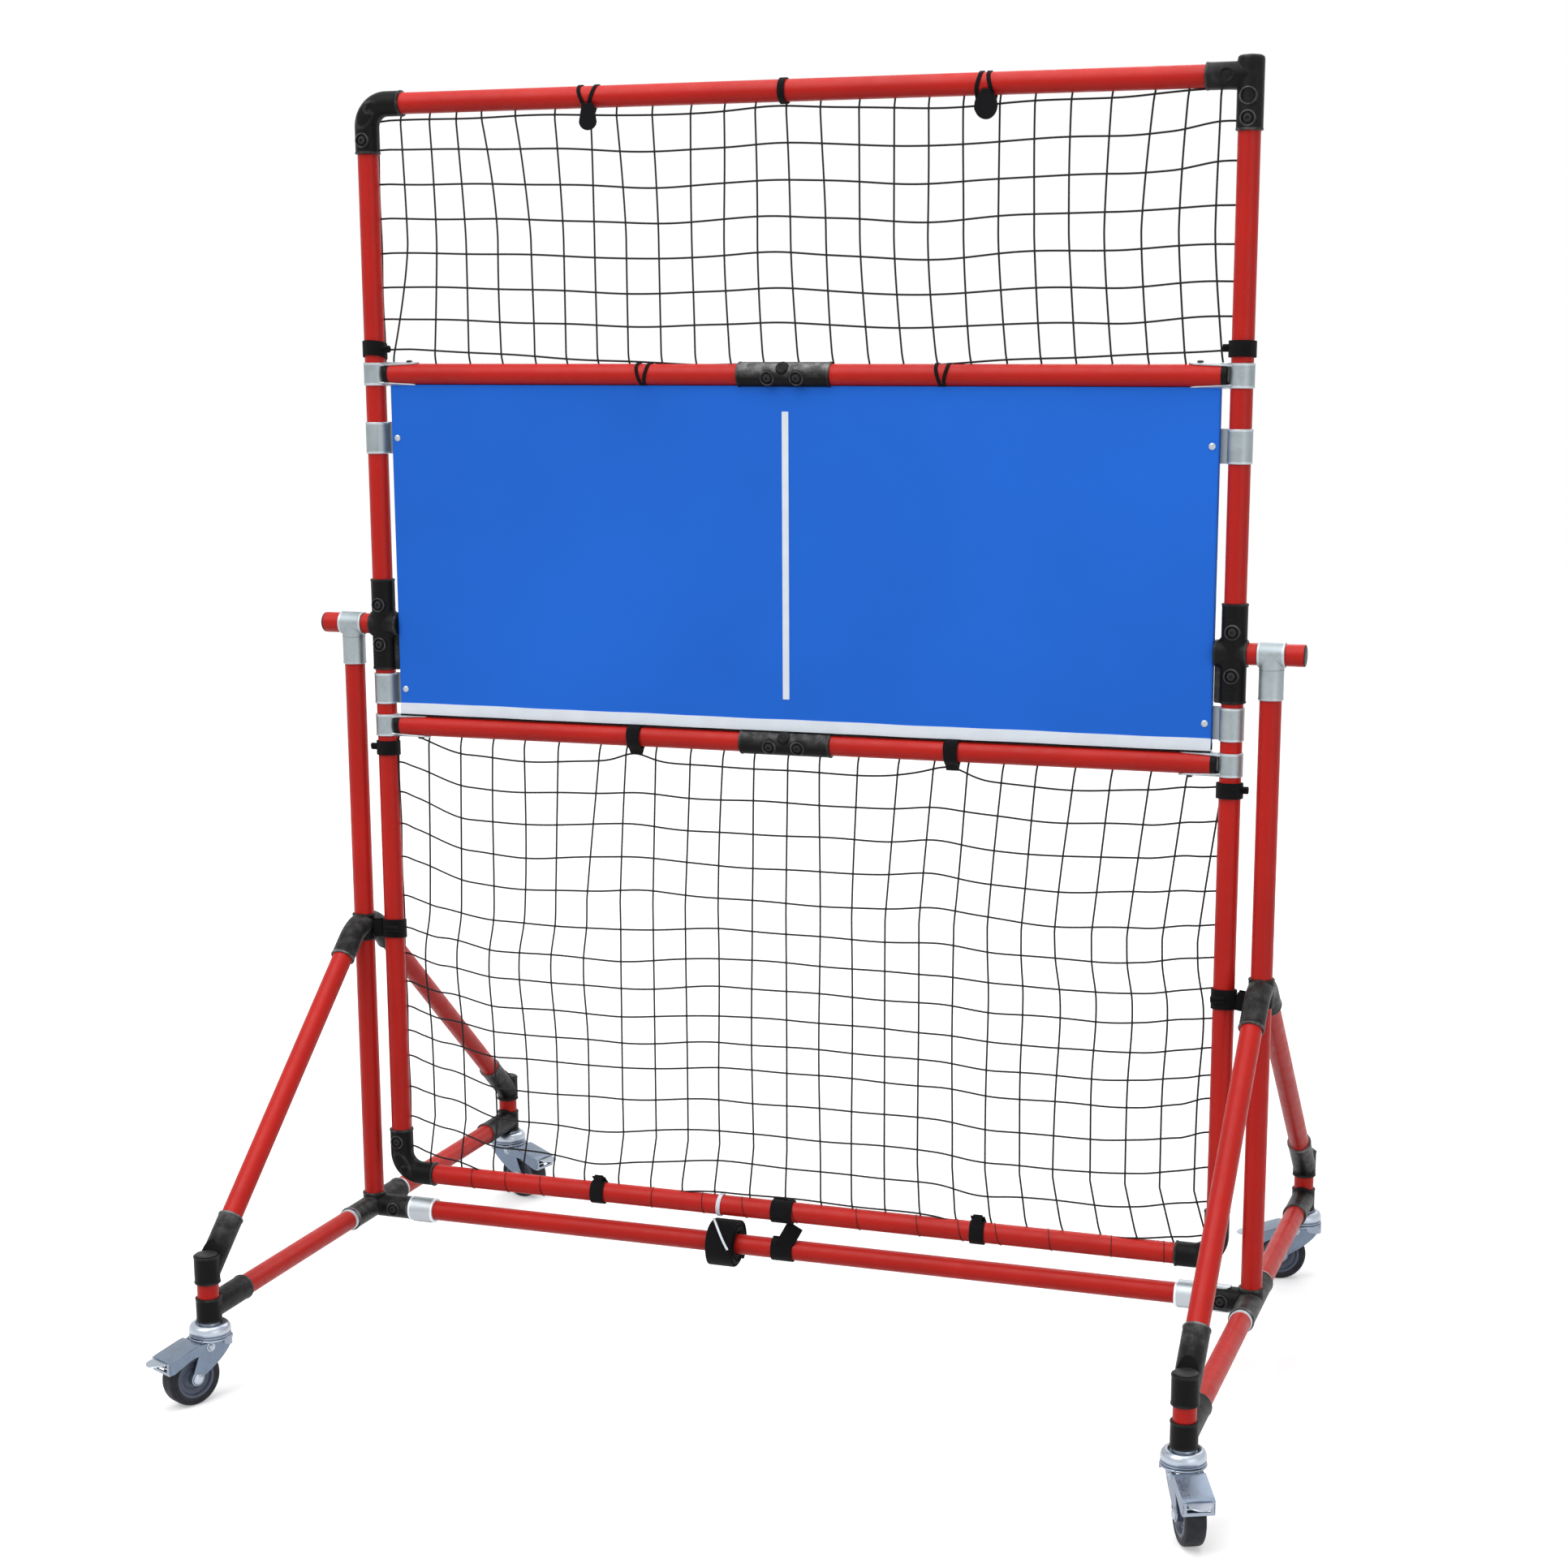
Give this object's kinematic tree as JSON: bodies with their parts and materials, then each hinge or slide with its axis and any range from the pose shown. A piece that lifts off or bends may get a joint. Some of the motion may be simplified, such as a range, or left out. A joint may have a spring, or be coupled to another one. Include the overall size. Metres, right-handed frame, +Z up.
{
  "type": "wheeled rebound net",
  "caption": "Rebound board between square-mesh nets in a tilting pipe frame on a braced stand with braked swivel casters.",
  "frame": {"origin": "on the floor under the centre of the bounding box", "axes": "+Z up, +X to the player's right, +Y away from the player"},
  "size_m": [1.3902, 1.0282, 1.6865],
  "materials": {
    "red_pipe": "smooth red plastic coat",
    "black_joint": "black electro-coated stamping",
    "zinc_clamp": "bright zinc",
    "cap_plastic": "moulded black",
    "screw_steel": "zinc socket screw",
    "caster_zinc": "bright zinc pressing",
    "wheel_rubber": "smooth black tread",
    "hub_grey": "moulded grey",
    "strap_black": "hook and loop strap",
    "board_blue": "smooth blue panel",
    "stripe_white": "white tape",
    "net_cord": "knotted black cord"
  },
  "bodies": {
    "stand": {"left_post": "red_pipe", "right_post": "red_pipe", "left_rails": "red_pipe", "right_rails": "red_pipe", "front_left_brace": "red_pipe", "rear_left_brace": "red_pipe", "front_right_brace": "red_pipe", "rear_right_brace": "red_pipe", "corner_posts": "red_pipe", "corner_caps": "cap_plastic", "rail_corner_joints": "black_joint", "brace_corner_joints": "black_joint", "foot_joints": "black_joint", "brace_top_joints": "black_joint", "cross_tube": "red_pipe", "cross_tube_clamps": "zinc_clamp", "swivel_tees": "zinc_clamp", "stand_screws": "screw_steel", "caster_stems": "caster_zinc", "stand_straps": "strap_black", "strap_roll": "strap_black"},
    "net_frame": {"left_uprights": "red_pipe", "right_uprights": "red_pipe", "top_tube": "red_pipe", "upper_rail_tubes": "red_pipe", "lower_rail_tubes": "red_pipe", "bottom_tube": "red_pipe", "rail_splices": "black_joint", "top_left_elbow": "black_joint", "top_right_joint": "black_joint", "bottom_elbows": "black_joint", "pivot_joints": "black_joint", "pivot_stubs": "red_pipe", "stub_caps": "cap_plastic", "rail_end_clamps": "zinc_clamp", "board_brackets": "zinc_clamp", "rebound_board": "board_blue", "board_stripes": "stripe_white", "upper_net": "net_cord", "lower_net": "net_cord", "frame_straps": "strap_black", "frame_screws": "screw_steel"},
    "front_left_swivel": {"front_left_caster_fork": "caster_zinc"},
    "front_left_wheel": {"front_left_caster_tyre": "wheel_rubber", "front_left_caster_hub": "hub_grey"},
    "front_left_brake": {"front_left_caster_pedal": "caster_zinc"},
    "front_right_swivel": {"front_right_caster_fork": "caster_zinc"},
    "front_right_wheel": {"front_right_caster_tyre": "wheel_rubber", "front_right_caster_hub": "hub_grey"},
    "front_right_brake": {"front_right_caster_pedal": "caster_zinc"},
    "rear_left_swivel": {"rear_left_caster_fork": "caster_zinc"},
    "rear_left_wheel": {"rear_left_caster_tyre": "wheel_rubber", "rear_left_caster_hub": "hub_grey"},
    "rear_left_brake": {"rear_left_caster_pedal": "caster_zinc"},
    "rear_right_swivel": {"rear_right_caster_fork": "caster_zinc"},
    "rear_right_wheel": {"rear_right_caster_tyre": "wheel_rubber", "rear_right_caster_hub": "hub_grey"},
    "rear_right_brake": {"rear_right_caster_pedal": "caster_zinc"}
  },
  "joints": [
    {"name": "frame_tilt", "type": "hinge", "parent": "stand", "child": "net_frame", "pos_m": [0, 0.03162, 0.973], "axis": [1, 0, 0], "continuous": true},
    {"name": "front_left_swivel_turn", "type": "hinge", "parent": "stand", "child": "front_left_swivel", "pos_m": [-0.643, -0.42338, 0.09], "axis": [0, 0, 1], "continuous": true},
    {"name": "front_left_wheel_spin", "type": "hinge", "parent": "front_left_swivel", "child": "front_left_wheel", "pos_m": [-0.65652, -0.45238, 0.0375], "axis": [0.9063, -0.4226, 0], "continuous": true},
    {"name": "front_left_brake_press", "type": "hinge", "parent": "front_left_swivel", "child": "front_left_brake", "pos_m": [-0.64807, -0.43425, 0.0767], "axis": [0.9063, -0.4226, 0], "range_deg": [0, 8]},
    {"name": "front_right_swivel_turn", "type": "hinge", "parent": "stand", "child": "front_right_swivel", "pos_m": [0.643, -0.42338, 0.09], "axis": [0, 0, 1], "continuous": true},
    {"name": "front_right_wheel_spin", "type": "hinge", "parent": "front_right_swivel", "child": "front_right_wheel", "pos_m": [0.65652, -0.45238, 0.0375], "axis": [0.9063, 0.4226, 0], "continuous": true},
    {"name": "front_right_brake_press", "type": "hinge", "parent": "front_right_swivel", "child": "front_right_brake", "pos_m": [0.64807, -0.43425, 0.0767], "axis": [0.9063, 0.4226, 0], "range_deg": [0, 8]},
    {"name": "rear_left_swivel_turn", "type": "hinge", "parent": "stand", "child": "rear_left_swivel", "pos_m": [-0.643, 0.48662, 0.09], "axis": [0, 0, 1], "continuous": true},
    {"name": "rear_left_wheel_spin", "type": "hinge", "parent": "rear_left_swivel", "child": "rear_left_wheel", "pos_m": [-0.61224, 0.4778, 0.0375], "axis": [0.2756, 0.9613, 0], "continuous": true},
    {"name": "rear_left_brake_press", "type": "hinge", "parent": "rear_left_swivel", "child": "rear_left_brake", "pos_m": [-0.63147, 0.48332, 0.0767], "axis": [0.2756, 0.9613, 0], "range_deg": [0, 8]},
    {"name": "rear_right_swivel_turn", "type": "hinge", "parent": "stand", "child": "rear_right_swivel", "pos_m": [0.643, 0.48662, 0.09], "axis": [0, 0, 1], "continuous": true},
    {"name": "rear_right_wheel_spin", "type": "hinge", "parent": "rear_right_swivel", "child": "rear_right_wheel", "pos_m": [0.61224, 0.4778, 0.0375], "axis": [0.2756, -0.9613, 0], "continuous": true},
    {"name": "rear_right_brake_press", "type": "hinge", "parent": "rear_right_swivel", "child": "rear_right_brake", "pos_m": [0.63147, 0.48332, 0.0767], "axis": [0.2756, -0.9613, 0], "range_deg": [0, 8]}
  ]
}
